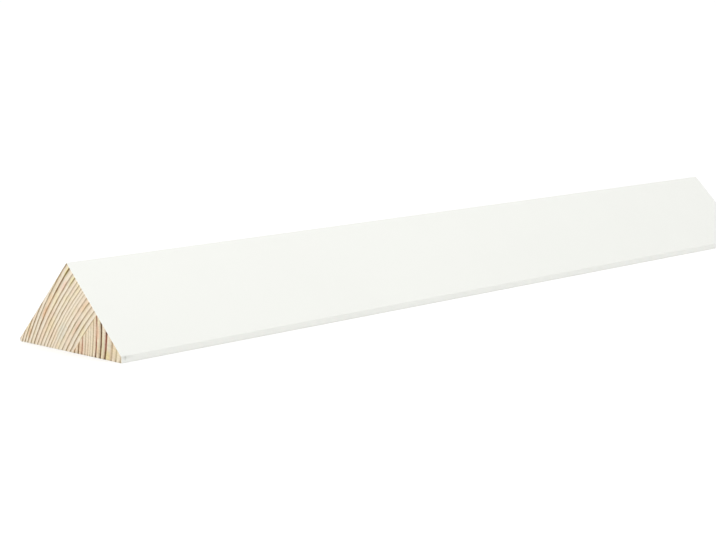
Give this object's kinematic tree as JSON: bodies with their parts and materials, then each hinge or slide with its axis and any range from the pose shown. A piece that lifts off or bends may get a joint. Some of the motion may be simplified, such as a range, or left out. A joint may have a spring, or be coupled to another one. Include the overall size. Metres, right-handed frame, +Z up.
{
  "type": "triangle moulding",
  "caption": "Right-angled triangular wood moulding, a straight bar glued from staves, painted white on its long faces with bare sawn pine ends.",
  "frame": {"origin": "middle of the base, the widest long face, on the plane that the moulding lies on", "axes": "+X along the moulding from the near sawn end to the far one, +Y across it towards the left leg, +Z up to the right-angled edge"},
  "size_m": [0.286, 0.0438, 0.0232],
  "materials": {
    "white_paint": "satin",
    "sawn_pine": "matte"
  },
  "bodies": {
    "root": {"main_stave": "white_paint", "edge_stave": "white_paint"}
  },
  "joints": []
}
